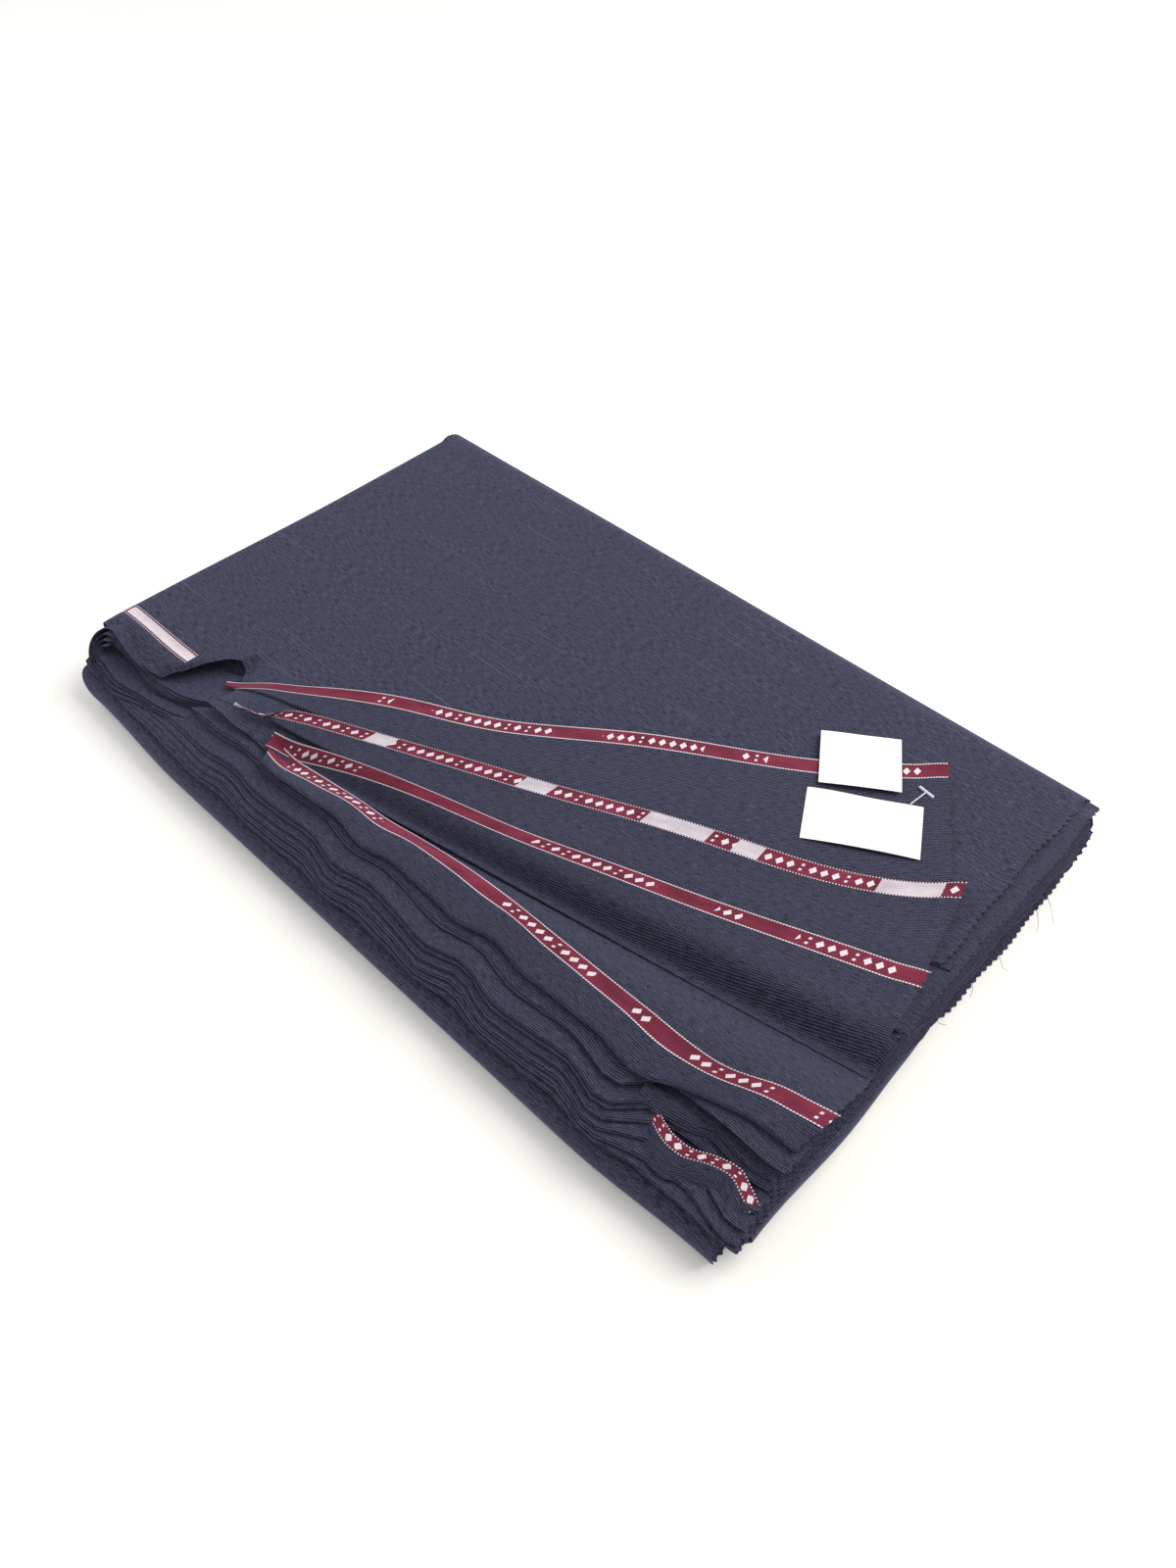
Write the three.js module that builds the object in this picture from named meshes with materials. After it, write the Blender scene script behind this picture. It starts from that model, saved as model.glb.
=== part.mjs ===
// A suit length of navy worsted cloth, folded flat into a rectangular pack for the shelf.
// Frame: millimetres, +Z up. The origin is the centre of the pack's footprint, on the surface it
// lies on. +X runs along the pack to its pinked, cut end, and +Y runs to the long back fold.
// The cloth is doubled, folded lengthwise in six, then folded over once along the back, so a
// lower and an upper bundle lie on each other. Each leaf below is a few plies of that one cloth.
import * as THREE from "three";

// Driving dimensions.
const PACK_LENGTH = 528; // from the rolled folds at -X to the pinked ends at +X
const PACK_WIDTH = 336; // from the selvedge side at -Y to the back fold at +Y
const CLEARANCE = 0.3; // between solids that rest on each other
const BASE_WRAP = 13; // height of the outermost plies, whose fold is the smooth lower side
const LOWER_LEAF = 2.8; // thickness of one leaf of the lower bundle
const LOWER_LEAVES = 3;
const UPPER_LEAF = 2.35; // thickness of one leaf of the upper bundle
const UPPER_LEAVES = 8;
const TOP_SHEET = 1.4; // the topmost ply, whose corner is turned back
const CORNER_PLY = 1.0; // thickness of a turned-back corner
const BASE_ROUND = 4.5; // radius of the outermost wrap's folds
const LEAF_ROUND = 0.8;
const LOWER_SLOPE = 1.4; // how much further in each lower leaf starts on the selvedge side
const UPPER_SLOPE = 3.4; // the same for each upper leaf
const LOWER_WAVE = 3; // how deep a lower leaf's wavy edge is
const UPPER_WAVE = 5;
const WAVES = 2.1; // along the pack
const WAVE_STEPS = 18;
const CUT_STAGGER = 0.9; // how much further in each leaf is cut at the pinked end
const PAPER = 0.25; // thickness of the two paper labels
const BAR_LENGTH = 10.5; // cross bar of the plastic tag fastener
const BAR_WIDTH = 1.4;
const FILAMENT = 0.8;
const FILAMENT_LENGTH = 13;
const FILAMENT_FROM_CORNER = 7.5; // along the price label's upper edge
const FASTENER_ANGLE = -8;

const CLOTH = { color: 0x2b2e41, roughness: 0.85, metalness: 0 };
const LABEL = { color: 0xfbfbfb, roughness: 0.6, metalness: 0 };
const PLASTIC = { color: 0xcfcbe0, roughness: 0.35, metalness: 0 };

// The four corners turned back over the top sheet, innermost first. Each is the triangle between
// its crease, which runs from the pivot to the cut end, its selvedge and its pinked edge. Points
// are measured from the pack's own corner, where the cut end meets the selvedge side.
const CORNERS = [
  { pivot: [-427, 49], tip: [-73, 289], creaseEnd: 180 },
  { pivot: [-408, 43], tip: [-22, 226], creaseEnd: 134 },
  { pivot: [-370, 37], tip: [-6, 168], creaseEnd: 106 },
  { pivot: [-363, 26], tip: [2, 76], creaseEnd: 32 },
];

// The labels: centre, from the same corner, size, and the angle of the long side to +X.
const LENGTH_LABEL = { centre: [-111, 260.5], size: [46, 40], angle: 34 };
const PRICE_LABEL = { centre: [-85, 225.5], size: [64, 37], angle: 30 };

const half = (size) => size / 2;
const radians = THREE.MathUtils.degToRad;
const object = new THREE.Group();

function addMesh(name, geometry, look, group = object) {
  const mesh = new THREE.Mesh(geometry, new THREE.MeshStandardMaterial(look));
  mesh.name = name;
  group.add(mesh);
  return mesh;
}

// A flat solid of the given outline. Its edges are rounded where it has room for them.
function slab(points, thickness, rounding = 0) {
  const shape = new THREE.Shape(points.map(([x, y]) => new THREE.Vector2(x, y)));
  const geometry = new THREE.ExtrudeGeometry(shape, {
    depth: thickness - 2 * rounding,
    bevelEnabled: rounding > 0,
    bevelThickness: rounding,
    bevelSize: rounding,
    bevelOffset: -rounding,
    bevelSegments: 2,
  });
  return geometry.translate(0, 0, rounding);
}

// The outline of one leaf: straight at the back, the fold end and the cut end, and wavy along
// the selvedge side, where the leaf starts sideInset further in than the outermost wrap.
function leafOutline(sideInset, cutInset, wave, phase) {
  const left = -half(PACK_LENGTH);
  const right = half(PACK_LENGTH) - cutInset;
  const back = half(PACK_WIDTH);
  const front = -half(PACK_WIDTH) + sideInset;
  const steps = wave > 0 ? WAVE_STEPS : 1;
  const points = [
    [right, back],
    [left, back],
  ];
  for (let i = 0; i <= steps; i += 1) {
    const along = i / steps;
    const ripple = half(wave) * (1 + Math.sin(phase + 2 * Math.PI * WAVES * along));
    points.push([left + along * (right - left), front + ripple]);
  }
  return points;
}

// Lower bundle. The outermost wrap rests on the table and gives the pack its full size.
addMesh("base_wrap", slab(leafOutline(0, 0, 0, 0), BASE_WRAP, BASE_ROUND), CLOTH);
let level = BASE_WRAP + CLEARANCE;
for (let i = 1; i <= LOWER_LEAVES; i += 1) {
  const outline = leafOutline(LOWER_SLOPE * i, CUT_STAGGER * i, LOWER_WAVE, i);
  addMesh("lower_leaf_" + i, slab(outline, LOWER_LEAF, LEAF_ROUND), CLOTH).position.z = level;
  level += LOWER_LEAF + CLEARANCE;
}

// Upper bundle, which opens about the back fold. Its leaves step in towards the top.
const lowerInset = LOWER_SLOPE * LOWER_LEAVES;
for (let i = 1; i <= UPPER_LEAVES; i += 1) {
  const sideInset = lowerInset + UPPER_SLOPE * i;
  const outline = leafOutline(sideInset, CUT_STAGGER * (i - 1), UPPER_WAVE, i);
  addMesh("upper_leaf_" + i, slab(outline, UPPER_LEAF, LEAF_ROUND), CLOTH).position.z = level;
  level += UPPER_LEAF + CLEARANCE;
}
const topInset = lowerInset + UPPER_SLOPE * (UPPER_LEAVES + 1);
const topOutline = leafOutline(topInset, CUT_STAGGER * UPPER_LEAVES, 0, 0);
addMesh("top_sheet", slab(topOutline, TOP_SHEET, half(LEAF_ROUND)), CLOTH).position.z = level;
level += TOP_SHEET + CLEARANCE;

// The turned-back corners lie on each other, each a ply higher than the one it covers.
const cornerStep = CORNER_PLY + CLEARANCE;
const corners = new THREE.Group();
corners.position.set(half(PACK_LENGTH) - CUT_STAGGER * UPPER_LEAVES, -half(PACK_WIDTH), level);
object.add(corners);
CORNERS.forEach(({ pivot, tip, creaseEnd }, i) => {
  const ply = slab([pivot, [0, creaseEnd], tip], CORNER_PLY);
  addMesh("turned_corner_" + (i + 1), ply, CLOTH, corners).position.z = i * cornerStep;
});

// Both labels lie on the first corner: the length label over its selvedge, the price label
// below it, held by the fastener.
for (const [name, label] of [
  ["length_label", LENGTH_LABEL],
  ["price_label", PRICE_LABEL],
]) {
  const mesh = addMesh(name, new THREE.BoxGeometry(...label.size, PAPER), LABEL, corners);
  mesh.position.set(...label.centre, cornerStep + half(PAPER));
  mesh.rotation.z = radians(label.angle);
}

// The fastener is one moulding: a bar with a thin filament that runs to the price label's edge.
const alongEdge = half(PRICE_LABEL.size[0]) - FILAMENT_FROM_CORNER;
const foot = new THREE.Vector3(alongEdge, half(PRICE_LABEL.size[1]), 0)
  .applyAxisAngle(new THREE.Vector3(0, 0, 1), radians(PRICE_LABEL.angle))
  .add(new THREE.Vector3(...PRICE_LABEL.centre, cornerStep));
const filamentStart = CLEARANCE + FILAMENT;
const fastenerOutline = [
  [-half(FILAMENT), filamentStart],
  [half(FILAMENT), filamentStart],
  [half(FILAMENT), FILAMENT_LENGTH],
  [half(BAR_LENGTH), FILAMENT_LENGTH],
  [half(BAR_LENGTH), FILAMENT_LENGTH + BAR_WIDTH],
  [-half(BAR_LENGTH), FILAMENT_LENGTH + BAR_WIDTH],
  [-half(BAR_LENGTH), FILAMENT_LENGTH],
  [-half(FILAMENT), FILAMENT_LENGTH],
];
const fastener = addMesh("tag_fastener", slab(fastenerOutline, BAR_WIDTH), PLASTIC, corners);
fastener.position.copy(foot);
fastener.rotation.z = radians(FASTENER_ANGLE);

export default object;
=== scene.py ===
# %% [markdown]
# # A folded suit length of navy worsted
# The object is one long cloth, doubled, folded in six and folded over once more, so it lies as a
# pack of many leaves. The CAD model gives the pack its size, its leaves and its joints. This
# lesson loads that model as a fixed frame and makes the cloth around it. It works in
# millimetres, because cloth is easier to think of in millimetres, and turns them to metres last.

# %% Load the frame
import math

import bpy
import numpy as np
from mathutils import Matrix, Vector


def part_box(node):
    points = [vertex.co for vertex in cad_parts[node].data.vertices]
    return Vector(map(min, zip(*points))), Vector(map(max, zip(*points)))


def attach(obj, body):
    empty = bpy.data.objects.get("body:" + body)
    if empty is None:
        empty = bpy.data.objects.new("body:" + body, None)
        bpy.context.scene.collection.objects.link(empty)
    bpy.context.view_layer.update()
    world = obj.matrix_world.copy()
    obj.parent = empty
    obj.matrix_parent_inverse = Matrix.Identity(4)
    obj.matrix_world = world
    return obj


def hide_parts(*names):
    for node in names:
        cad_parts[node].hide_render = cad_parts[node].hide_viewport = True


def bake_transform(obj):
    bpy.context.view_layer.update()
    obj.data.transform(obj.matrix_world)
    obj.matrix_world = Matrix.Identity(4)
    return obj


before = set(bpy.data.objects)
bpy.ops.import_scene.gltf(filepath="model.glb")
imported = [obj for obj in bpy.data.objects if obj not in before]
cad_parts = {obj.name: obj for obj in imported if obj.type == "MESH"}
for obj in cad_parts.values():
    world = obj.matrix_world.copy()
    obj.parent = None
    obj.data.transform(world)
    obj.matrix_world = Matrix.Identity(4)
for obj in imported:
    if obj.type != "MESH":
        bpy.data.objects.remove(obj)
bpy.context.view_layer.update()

# %% [markdown]
# ## Camera
# The camera comes first. It stands over the corner where the cut end meets
# the selvedge side and looks down at the pack, which keeps the whole of it in view.
# The camera is placed by its position and by the direction that it looks back from.

# %% Camera
MM = 0.001
CAMERA_PLACE = (337.2, -332.0, 546.6)  # millimetres
CAMERA_AZIMUTH, CAMERA_ELEVATION, CAMERA_ROLL = 43.70, 49.65, -0.13  # degrees
CAMERA_LENS = 26.8  # millimetres on a 36 mm sensor


def deselect_all():
    """Operators act on whatever is selected, so each step starts with nothing selected."""
    bpy.ops.object.select_all(action="DESELECT")


deselect_all()
bpy.ops.object.camera_add(location=[c * MM for c in CAMERA_PLACE])
camera = bpy.context.object
camera.rotation_euler = (
    Matrix.Rotation(math.radians(CAMERA_AZIMUTH), 3, "Z")
    @ Matrix.Rotation(math.radians(90 - CAMERA_ELEVATION), 3, "X")
    @ Matrix.Rotation(math.radians(CAMERA_ROLL), 3, "Z")
).to_euler()
camera.data.lens = CAMERA_LENS
camera.data.sensor_width = 36
camera.data.clip_end = 20
bpy.context.scene.camera = camera
print("camera at", tuple(round(c, 3) for c in camera.location))

# %% [markdown]
# ## Colours and nodes
# Colours are written as the hex values that a paint program shows. Blender's shaders count in
# linear light, so one function turns them. A second function adds any node with its settings and
# its links, so a material reads from top to bottom, with one step on each line.


# %% Colour and node helpers
def linear(hex_colour):
    """An sRGB hex colour as linear red, green, blue and alpha."""
    parts = [int(hex_colour[i : i + 2], 16) / 255 for i in (1, 3, 5)]
    return [p / 12.92 if p <= 0.04045 else ((p + 0.055) / 1.055) ** 2.4 for p in parts] + [1]


def add(tree, kind, *values, **named):
    """A node of that kind. Values go to its inputs in order. Named ones go to a setting, in small
    letters, or to the input of that name. A node or a socket is linked, and the rest is set."""
    node = tree.nodes.new("ShaderNode" + kind)
    for key in [key for key in named if key.islower()]:
        setattr(node, key, named.pop(key))
    pairs = list(zip([socket for socket in node.inputs if socket.enabled], values))
    pairs += [(node.inputs[key.replace("_", " ")], value) for key, value in named.items()]
    for socket, value in pairs:
        if isinstance(value, bpy.types.Node):
            value = next(output for output in value.outputs if output.enabled)
        if isinstance(value, bpy.types.NodeSocket):
            tree.links.new(value, socket)
        else:
            socket.default_value = value
    return node


def new_material(name):
    """An empty material and its node tree."""
    material = bpy.data.materials.new(name)
    material.use_nodes = True
    material.node_tree.nodes.clear()
    return material, material.node_tree


print("white in linear light", linear("#ffffff"))

# %% [markdown]
# ## Worsted cloth
# Worsted is woven from combed wool, so it is smooth and fine, with a dry, faint sheen. The real
# threads are 0.4 mm apart and would melt into grey at this distance, so the rib is drawn at
# 1.1 mm and the twill line at 1.6 mm. Every sheet has its own UV map in metres, laid out flat
# as the cloth was woven: the first coordinate runs along the selvedge and the second across it.
# A selvedge is the woven border: a coloured ground with a figure in the other colour, and a
# dotted white thread along each side. The figure here is a plain ornament of lozenges and dots.

# %% Cloth colours and thread
NAVY_LIT, NAVY_DEEP, NAVY_SLUB = "#4b4b65", "#12121c", "#646782"
WOOL_SHEEN = "#9aa2c8"
RIB_PITCH, TWILL_PITCH, SLUB_PITCH = 1.1, 1.6, 4.6  # millimetres
TWILL_SLOPE = 1.6


def weighted(tree, *parts):
    """The sum of some values, each times its weight."""
    total = None
    for value, weight in parts:
        step = add(tree, "Math", value, weight, operation="MULTIPLY")
        total = step if total is None else add(tree, "Math", total, step, operation="ADD")
    return total


def thread(tree, place, rib):
    """Of the woven thread: its tone, from 0 to 1, which holds painted shade in the rib and twill
    grooves, its height, and the fleck that both share.
    """
    split = add(tree, "SeparateXYZ", place)
    along_yarn, across_ribs = split.outputs["X"], split.outputs["Y"]
    rib_wave = add(tree, "Math", across_ribs, 2 * math.pi / RIB_PITCH, operation="MULTIPLY")
    rib_wave = add(tree, "Math", rib_wave, operation="SINE")
    diagonal = add(tree, "Math", across_ribs, TWILL_SLOPE, operation="MULTIPLY")
    diagonal = add(tree, "Math", along_yarn, diagonal, operation="ADD")
    twill_wave = add(tree, "Math", diagonal, 2 * math.pi / TWILL_PITCH, operation="MULTIPLY")
    twill_wave = add(tree, "Math", twill_wave, operation="SINE")
    # Yarn is uneven along its own length, and the ends of the fibres leave flecks.
    yarn_place = add(tree, "VectorMath", place, (0.20, 1.5, 0), operation="MULTIPLY")
    yarn = add(tree, "TexNoise", Vector=yarn_place, Scale=1.0, Detail=3.0, Roughness=0.6)
    fleck_place = add(tree, "VectorMath", place, (1.4, 1.4, 0), operation="MULTIPLY")
    fleck = add(tree, "TexNoise", Vector=fleck_place, Scale=1.0, Detail=2.0)
    height = weighted(tree, (rib_wave, 0.30 * rib), (twill_wave, 0.16), (fleck, 0.6))
    # The rib and twill waves also go into the tone, darker in their grooves: this is painted shade
    # in step with the bump, besides the yarn's own unevenness.
    shade = weighted(tree, (yarn, 0.75), (fleck, 0.55), (rib_wave, 0.14 * rib), (twill_wave, 0.05))
    tone = add(tree, "MapRange", Value=shade, From_Min=0.56, From_Max=0.76)
    return tone, height, fleck


# %% Woven ornament
FIGURE_CELL = 6.0  # millimetres for each lozenge or pair of dots
LOZENGE_REACH, LOZENGE_SLOPE = 2.15, 0.85
DOT_REACH, DOT_PLACE = 0.75, 1.65  # half a dot, and how far it is from the middle line
LOZENGES = 0.62  # the share of cells with a lozenge


def ornament(tree, along_band, from_middle, band_width):
    """1 inside a lozenge or a pair of dots, whichever the cell's number draws, and 0 outside."""
    cell = add(tree, "Math", along_band, FIGURE_CELL, operation="DIVIDE")
    number = add(tree, "Math", cell, operation="FLOOR")
    chance = add(tree, "TexWhiteNoise", noise_dimensions="1D", W=number)
    inside = add(tree, "Math", cell, operation="FRACT")
    off_centre = add(tree, "Math", inside, 0.5, operation="SUBTRACT")
    off_centre = add(tree, "Math", off_centre, operation="ABSOLUTE")
    from_cell = add(tree, "Math", off_centre, FIGURE_CELL, operation="MULTIPLY")
    from_line = add(tree, "Math", from_middle, band_width, operation="MULTIPLY")
    size = weighted(tree, (from_cell, 1.0), (from_line, LOZENGE_SLOPE))
    lozenge = add(tree, "Math", size, LOZENGE_REACH, operation="LESS_THAN")
    off_line = add(tree, "Math", from_line, DOT_PLACE, operation="SUBTRACT")
    off_line = add(tree, "Math", off_line, operation="ABSOLUTE")
    off_dot = add(tree, "Math", off_line, from_cell, operation="MAXIMUM")
    dots_pair = add(tree, "Math", off_dot, DOT_REACH, operation="LESS_THAN")
    dots_here = add(tree, "Math", chance, LOZENGES, operation="GREATER_THAN")
    shape = add(tree, "Mix", dots_here, lozenge, dots_pair, data_type="RGBA")
    body = add(tree, "Math", from_middle, 0.29, operation="LESS_THAN")
    return add(tree, "Math", shape, body, operation="MULTIPLY")


# %% Woven selvedge
MAROON, MAROON_DEEP, IVORY, IVORY_SHADE = "#8f2f49", "#521828", "#e9e0e6", "#b9abb8"
BAND_WIDTH = 10.0
STITCH_PITCH, STITCH_WIDTH = 1.6, 0.65  # the dotted white thread
STITCH_SHARE = {"face": 0.74, "reverse": 0.45}  # how much of the thread lies on top


def selvedge(tree, colour, place, fleck, band, start, width, border_width):
    """The cloth's colour with a woven band from start in, where the figure attribute allows."""
    split = add(tree, "SeparateXYZ", place)
    along_band = split.outputs["X"]
    across = add(tree, "Math", split.outputs["Y"], start, operation="SUBTRACT")
    across = add(tree, "Math", across, width, operation="DIVIDE")
    from_middle = add(tree, "Math", across, 0.5, operation="SUBTRACT")
    from_middle = add(tree, "Math", from_middle, operation="ABSOLUTE")
    # The figure is 1 where the ornament stands, 0 between the groups and -1 without a band.
    figure = add(tree, "Attribute", attribute_name="figure").outputs["Fac"]
    group_on = add(tree, "Math", figure, 0.5, operation="GREATER_THAN")
    shape = ornament(tree, along_band, from_middle, width)
    shape = add(tree, "Math", shape, group_on, operation="MULTIPLY")
    worn_place = add(tree, "VectorMath", place, (0.05, 0.12, 0), operation="MULTIPLY")
    worn = add(tree, "TexNoise", Vector=worn_place, Scale=1.0, Detail=2.0)
    mottle = weighted(tree, (worn, 0.6), (fleck, 0.5))
    mottle = add(tree, "MapRange", Value=mottle, From_Min=0.35, From_Max=0.72)
    woven = add(tree, "Mix", mottle, linear(MAROON_DEEP), linear(MAROON), data_type="RGBA")
    if band == "reverse":  # plain ivory stretches between the groups
        plain = add(tree, "Mix", mottle, linear(IVORY_SHADE), linear(IVORY), data_type="RGBA")
        woven = add(tree, "Mix", group_on, plain, woven, data_type="RGBA")
    woven = add(tree, "Mix", shape, woven, linear(IVORY), data_type="RGBA")
    # A dotted white thread along each side, on a maroon line.
    border = add(tree, "Math", from_middle, 0.5 - border_width / width, operation="GREATER_THAN")
    stitch = add(tree, "Math", along_band, STITCH_PITCH, operation="DIVIDE")
    stitch = add(tree, "Math", stitch, operation="FRACT")
    stitch = add(tree, "Math", stitch, STITCH_SHARE[band], operation="LESS_THAN")
    row = add(tree, "Math", from_middle, 0.5 - STITCH_WIDTH / width, operation="GREATER_THAN")
    stitch = add(tree, "Math", stitch, row, operation="MULTIPLY")
    edge = add(tree, "Mix", stitch, linear(MAROON_DEEP), linear(IVORY), data_type="RGBA")
    woven = add(tree, "Mix", border, woven, edge, data_type="RGBA")
    in_width = add(tree, "Math", from_middle, 0.5, operation="LESS_THAN")
    in_length = add(tree, "Math", figure, -0.5, operation="GREATER_THAN")
    in_band = add(tree, "Math", in_width, in_length, operation="MULTIPLY")
    return add(tree, "Mix", in_band, colour, woven, data_type="RGBA")


# %% Cloth materials
def worsted(name, band=None, start=0.0, width=BAND_WIDTH, border=STITCH_WIDTH, rib=1.0, slubs=0.18):
    """Navy worsted. With band "face" or "reverse" it has a woven selvedge from start in."""
    material, tree = new_material(name)
    uv = add(tree, "UVMap", uv_map="cloth")
    place = add(tree, "VectorMath", uv, Scale=1 / MM, operation="SCALE")
    tone, height, fleck = thread(tree, place, rib)
    colour = add(tree, "Mix", tone, linear(NAVY_DEEP), linear(NAVY_LIT), data_type="RGBA")
    slub_place = add(tree, "VectorMath", place, (0.0016, 1 / SLUB_PITCH, 0), operation="MULTIPLY")
    slub = add(tree, "TexNoise", Vector=slub_place, Scale=6.0, Detail=1.0)
    slub = add(tree, "MapRange", Value=slub, From_Min=0.68, From_Max=0.73)
    slub = add(tree, "Math", slub, slubs, operation="MULTIPLY")
    colour = add(tree, "Mix", slub, colour, linear(NAVY_SLUB), data_type="RGBA")
    if band:
        colour = selvedge(tree, colour, place, fleck, band, start, width, border)
    bump = add(tree, "Bump", Strength=0.6, Distance=0.0004, Height=height)
    shader = add(tree, "BsdfPrincipled", Base_Color=colour, Roughness=0.82, Normal=bump,
                 Specular_IOR_Level=0.25, Sheen_Weight=0.35, Sheen_Roughness=0.45,
                 Sheen_Tint=linear(WOOL_SHEEN))
    add(tree, "OutputMaterial", Surface=shader)
    return material


CLOTH = worsted("worsted_cloth")
CLOTH_FACE_BAND = worsted("worsted_maroon_selvedge", "face")
CLOTH_REVERSE_BAND = worsted("worsted_ivory_selvedge", "reverse")
CLOTH_TOP_BAND = worsted("worsted_top_selvedge", "reverse", start=12.1, width=9.4, border=1.5,
                         rib=0.4, slubs=0.5)
CLOTH_TIP_BAND = worsted("worsted_tip_selvedge", "reverse", width=6.5)
print("cloth materials", [m.name for m in bpy.data.materials if m.name.startswith("worsted")])

# %% [markdown]
# ## How the pack settles
# A real pack isn't a pile of flat boards. Every leaf follows the ones beneath it, so one dip runs
# through all of them. Each sheet below is therefore laid out flat at its own height first, and
# then one function, settle, moves its points. Because all sheets go through the same function
# they stay nested and never cut through each other.

# %% Sizes and smooth steps
LEFT_END = -264.0
HINGE_HEIGHT, TOP_HEIGHT = 22.45, 45.7
PLY = 0.45
PINKING = 5.0  # millimetres from tooth to tooth


def smooth(value, low, high):
    """0 below low, 1 above high, and an easy S between them."""
    t = np.clip((np.asarray(value, float) - low) / (high - low), 0, 1)
    return t * t * (3 - 2 * t)


def bump_at(value, middle, width):
    """A soft hump of height 1 round middle."""
    return np.exp(-(((value - middle) / width) ** 2))


def line_y(ends, x):
    """Where a straight line is at x, straight on past its ends."""
    (x0, y0), (x1, y1) = ends
    return y0 + (y1 - y0) * (np.asarray(x, float) - x0) / (x1 - x0)


print("a smooth step from 0 to 10", smooth([0, 2.5, 5, 7.5, 10], 0, 10).round(2))

# %% Waves and the valley
VALLEY = ((-113.2, -129.0), (256.8, -55.0))  # the line of the valley's floor
VALLEY_DEPTH, VALLEY_DEEPENS = 8.0, 4.5


def edge_wave(x, phase=0.0):
    """The waves of the selvedge side, which grow towards the cut end."""
    grow = 0.35 + 0.65 * smooth(x, -220, 60)
    return grow * (np.sin(x / 10.5 + phase) + 0.5 * np.sin(x / 6.3 + 1.3 + 1.7 * phase))


def valley(x, y):
    """Depth of the valley between the third and the fourth turned corner."""
    off = y - line_y(VALLEY, x)
    width = np.where(off > 0, 7 + 2 * smooth(x, 0, 250), 11 + 9 * smooth(x, 0, 250))
    depth = VALLEY_DEPTH + VALLEY_DEEPENS * smooth(x, -40, 200)
    return depth * smooth(x, -135, -90) * bump_at(off, 0, width)


print("valley at the cut end", float(valley(250.0, line_y(VALLEY, 250.0)).round(1)), "mm deep")

# %% Settling
RIDGE_FOOT, RIDGE_TURN = (-216.0, -145.0), math.radians(54.5)  # where the top starts to turn over
SIDE_WAVE, SIDE_RISE, FOOT_BULGE = 1.6, 0.9, 4.8
TIP_DENT, EDGE_DROOP = 5.0, 2.6
LEFT_PRESS = 0.72  # the share of their height that the upper leaves lose at the left
RIDGE_DROP = CURL_DROP = 7.0
LEAN, LEAN_MORE = 10.0, 6.0


def settle(points):
    """Moves points of a flat pile to where the settled cloth lies. Millimetres."""
    p = np.array(points, float)
    x, y, z = p[..., 0], p[..., 1], p[..., 2]
    up = np.clip(z / TOP_HEIGHT, 0, 1.15)
    above = smooth(z, 20.6, 32)
    top = smooth(z, 38, 45)
    dz = -valley(x, y) * up**3
    # The front edge is wavy, bulges at its foot and has a dent before the tip.
    near_front = 1 - smooth(y, -140, -108)
    dy = near_front * above * SIDE_WAVE * edge_wave(x)
    foot = smooth(x, -255, -160) * (1 - smooth(x, 170, 256))
    foot = foot * (1 - smooth(y, -165, -120)) * (1 - smooth(z, 24, 36))
    dy = dy - FOOT_BULGE * foot
    dz = dz + near_front * above * SIDE_RISE * edge_wave(x + 9)
    dy = dy - near_front * top * TIP_DENT * bump_at(x, 168, 36)
    dz = dz - top * EDGE_DROOP * smooth(-y, 120, 142) * smooth(x, -150, -90)
    # At the left the upper leaves are pressed together under the rolled fold.
    pinch = (1 - smooth(x, -225, -85)) * (1 - smooth(y, -112, -70))
    pinch = pinch * smooth(z, HINGE_HEIGHT, HINGE_HEIGHT + 0.5) * (1 - smooth(z, 43.0, 43.6))
    dz = dz - LEFT_PRESS * pinch * (z - HINGE_HEIGHT)
    # The plane of the top sheet is quiet, but not flat.
    quiet = 0.6 * np.sin(x / 90 + 0.6) * np.sin(y / 70 + 0.8) + 0.4 * np.sin((x + y) / 55)
    dz = dz + top * quiet
    # Beyond a short ridge the top sheet drops to the point that the corners turn on.
    c, s = math.cos(RIDGE_TURN), math.sin(RIDGE_TURN)
    off = (x - RIDGE_FOOT[0]) * s - (y - RIDGE_FOOT[1]) * c
    run = (x - RIDGE_FOOT[0]) * c + (y - RIDGE_FOOT[1]) * s
    drop = smooth(off, 0, 6) * (1 - smooth(off, 14, 44)) * (1 - smooth(run, 48, 84))
    dz = dz - top * RIDGE_DROP * drop
    curl = smooth(-y, 129, 141) * smooth(x, -264, -236) * (1 - smooth(x, -196, -172))
    dz = dz - top * CURL_DROP * curl * (1 - smooth(off, 0, 8))
    # The rolled fold leans out over the left end.
    lean = LEAN + LEAN_MORE * (1 - smooth(y, -150, 50))
    dx = -lean * smooth(z, 3, 22) * (1 - smooth(x, -262, -180))
    return np.stack([x + dx, y + dy, z + dz], -1)


print("settled top at the middle", np.round(settle([[0, 0, TOP_HEIGHT]])[0], 2))


# %% [markdown]
# ## From a grid of points to a sheet
# Each sheet of cloth is a grid of points, because cloth is itself a grid. The helper builds the
# faces, writes the flat place of each point as the UV map, gives the sheet its thickness with the
# Solidify modifier and smooths it. A pinked edge is cut in zigzag so that it doesn't fray, and
# the last column of the grid gets that zigzag.


# %% Sheet helpers
def new_piece(name, points, faces, places, material):
    """A selected object of points, with a flat place for each corner of each face. Millimetres."""
    mesh = bpy.data.meshes.new(name)
    mesh.from_pydata((points.reshape(-1, 3) * MM).tolist(), [], faces)
    uv = mesh.uv_layers.new(name="cloth")
    uv.data.foreach_set("uv", (places * MM).astype(np.float32).ravel())
    mesh.materials.append(material)
    piece = bpy.data.objects.new(name, mesh)
    bpy.context.scene.collection.objects.link(piece)
    deselect_all()
    piece.select_set(True)
    bpy.context.view_layer.objects.active = piece
    return piece


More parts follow.
